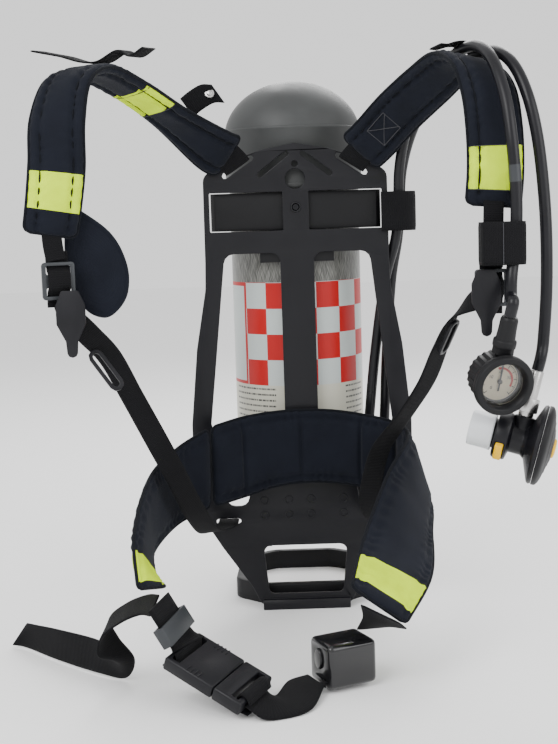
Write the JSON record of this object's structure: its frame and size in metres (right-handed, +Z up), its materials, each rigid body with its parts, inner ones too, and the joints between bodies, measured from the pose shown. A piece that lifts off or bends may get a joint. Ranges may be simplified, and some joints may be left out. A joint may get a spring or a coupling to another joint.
{
  "type": "air pack",
  "caption": "Self-contained breathing air pack: backplate, wound composite cylinder, padded harness, waist belt, pressure gauge and demand valve on hoses.",
  "frame": {"origin": "middle of the foot of the backplate, on the surface that the pack stands on, at the plate's front face", "axes": "+Z up along the backplate; the wearer faces -Y, so the cylinder is at +Y and the wearer's left is +X"},
  "size_m": [0.5829, 0.5314, 0.6456],
  "materials": {
    "nylon": "moulded, fine satin grain",
    "rubber": "moulded rubber",
    "boot_rubber": "moulded rubber, satin",
    "hose_rubber": "smooth extruded rubber",
    "composite": "fibre-wound aluminium liner, clear resin",
    "brass": "nickel-plated, machined",
    "steel": "machined",
    "webbing": "woven polyester webbing",
    "pad_cloth": "padded flame-resistant cloth with piping",
    "grey_plastic": "moulded",
    "housing_gloss": "glossy moulding",
    "yellow_plastic": "moulded",
    "milky_cap": "translucent",
    "dial_face": "printed dial",
    "needle": "painted",
    "lens": "clear polycarbonate"
  },
  "bodies": {
    "pack": {"backplate": "nylon", "band_cam_frame": "steel", "base_bumper": "rubber", "belt_adjuster_body": "housing_gloss", "buckle_female": "nylon", "coupling_plug": "steel", "cylinder_band": "webbing", "cylinder_boot": "boot_rubber", "cylinder_cradle": "rubber", "cylinder_shell": "composite", "gauge_hose": "hose_rubber", "gauge_hose_ferrule": "steel", "gauge_stem": "rubber", "hip_pad_left": "pad_cloth", "hip_pad_right": "pad_cloth", "hose_keeper_front": "webbing", "hose_keeper_plate": "webbing", "hose_keeper_top": "webbing", "lower_webbing_left": "webbing", "lower_webbing_right": "webbing", "lumbar_pad": "pad_cloth", "reducer_body": "brass", "reducer_bracket": "steel", "relief_valve": "brass", "shoulder_pad_left": "pad_cloth", "shoulder_pad_right": "pad_cloth", "side_panel": "pad_cloth", "snap_tab": "webbing", "strap_adjuster_left": "grey_plastic", "strap_adjuster_right": "grey_plastic", "strap_flap": "webbing", "supply_hose": "hose_rubber", "supply_hose_ferrule": "steel", "valve_body": "brass", "waist_webbing_left": "webbing", "waist_webbing_middle": "webbing", "waist_webbing_right": "webbing", "webbing_tail": "webbing"},
    "handwheel": {"valve_handwheel": "rubber"},
    "hand_nut": {"reducer_hand_nut": "nylon"},
    "cam_lever": {"band_cam_lever": "steel"},
    "gauge": {"gauge_case": "rubber", "gauge_bezel": "rubber", "gauge_dial": "dial_face", "gauge_lens": "lens"},
    "needle": {"gauge_needle": "needle"},
    "demand_valve": {"demand_valve_body": "nylon", "demand_valve_cover": "rubber"},
    "purge_button": {"purge_button": "yellow_plastic"},
    "release_lower": {"release_button_lower": "yellow_plastic"},
    "release_upper": {"release_button_upper": "yellow_plastic"},
    "connector_cap": {"connector_cap": "milky_cap"},
    "coupling_sleeve": {"coupling_sleeve": "steel"},
    "buckle_male": {"buckle_male": "nylon"},
    "webbing_keeper": {"webbing_keeper": "grey_plastic"},
    "grip_tab_left": {"grip_tab_left": "nylon"},
    "grip_tab_right": {"grip_tab_right": "nylon"},
    "belt_adjuster_button": {"belt_adjuster_button": "housing_gloss"},
    "pull_ring_left": {"pull_ring_left": "nylon"},
    "pull_ring_right": {"pull_ring_right": "nylon"}
  },
  "joints": [
    {"name": "handwheel_turn", "type": "hinge", "parent": "pack", "child": "handwheel", "pos_m": [-0.0503, 0.092, 0.077], "axis": [-1, 0, 0], "range_deg": [0, 630]},
    {"name": "hand_nut_turn", "type": "hinge", "parent": "pack", "child": "hand_nut", "pos_m": [0.038, 0.092, 0.077], "axis": [1, 0, 0], "range_deg": [0, 1080]},
    {"name": "band_cam_lift", "type": "hinge", "parent": "pack", "child": "cam_lever", "pos_m": [0.018, 0.1848, 0.4715], "axis": [0, 0, -1], "range_deg": [0, 150]},
    {"name": "gauge_swivel", "type": "hinge", "parent": "pack", "child": "gauge", "pos_m": [0.1876, -0.243, 0.3015], "axis": [0.167, -0.2185, 0.9614], "range_deg": [-90, 90]},
    {"name": "needle_sweep", "type": "hinge", "parent": "gauge", "child": "needle", "pos_m": [0.18848, -0.24677, 0.30049], "axis": [-0.2188, 0.9426, 0.2522], "range_deg": [0, 270]},
    {"name": "demand_valve_swivel", "type": "hinge", "parent": "pack", "child": "demand_valve", "pos_m": [0.21334, -0.21985, 0.23659], "axis": [0.2626, 0.0108, 0.9648], "range_deg": [-30, 30]},
    {"name": "purge_press", "type": "slide", "parent": "demand_valve", "child": "purge_button", "axis": [-0.9362, 0.245, 0.252], "range_m": [0, 0.003], "stiffness_N_per_m": 800, "springref_m": -0.001},
    {"name": "release_lower_press", "type": "slide", "parent": "demand_valve", "child": "release_lower", "axis": [0.3454, 0.7745, 0.5299], "range_m": [0, 0.0022], "stiffness_N_per_m": 800, "springref_m": -0.001},
    {"name": "release_upper_press", "type": "slide", "parent": "demand_valve", "child": "release_upper", "axis": [-0.3454, -0.7745, -0.5299], "range_m": [0, 0.0022], "stiffness_N_per_m": 800, "springref_m": -0.001},
    {"name": "connector_cap_pull", "type": "slide", "parent": "demand_valve", "child": "connector_cap", "axis": [-0.9362, 0.245, 0.252], "range_m": [0, 0.03]},
    {"name": "coupling_sleeve_draw", "type": "slide", "parent": "demand_valve", "child": "coupling_sleeve", "axis": [0.2626, 0.0108, 0.9648], "range_m": [0, 0.004], "stiffness_N_per_m": 800, "springref_m": -0.001},
    {"name": "buckle_unplug", "type": "slide", "parent": "pack", "child": "buckle_male", "axis": [0.8132, -0.4387, -0.3824], "range_m": [0, 0.03], "deforming": ["waist_webbing_middle"]},
    {"name": "webbing_keeper_slide", "type": "slide", "parent": "pack", "child": "webbing_keeper", "axis": [0.5017, -0.0602, -0.8629], "range_m": [-0.005, 0.002]},
    {"name": "grip_tab_left_lift", "type": "hinge", "parent": "pack", "child": "grip_tab_left", "pos_m": [0.181, -0.226, 0.4072], "axis": [-1, 0, 0], "range_deg": [0, 35]},
    {"name": "grip_tab_right_lift", "type": "hinge", "parent": "pack", "child": "grip_tab_right", "pos_m": [-0.2275, -0.229, 0.3992], "axis": [-1, 0, 0], "range_deg": [0, 35]},
    {"name": "belt_adjuster_press", "type": "slide", "parent": "pack", "child": "belt_adjuster_button", "axis": [0.9026, 0.4305, 0], "range_m": [0, 0.0018], "stiffness_N_per_m": 800, "springref_m": -0.001},
    {"name": "pull_ring_left_swing", "type": "hinge", "parent": "pack", "child": "pull_ring_left", "pos_m": [0.15564, -0.18787, 0.35394], "axis": [-0.7307, -0.6138, -0.2989], "range_deg": [0, 40]},
    {"name": "pull_ring_right_swing", "type": "hinge", "parent": "pack", "child": "pull_ring_right", "pos_m": [-0.2118, -0.2018, 0.33604], "axis": [-0.7998, -0.2999, -0.5199], "range_deg": [0, 40]}
  ]
}
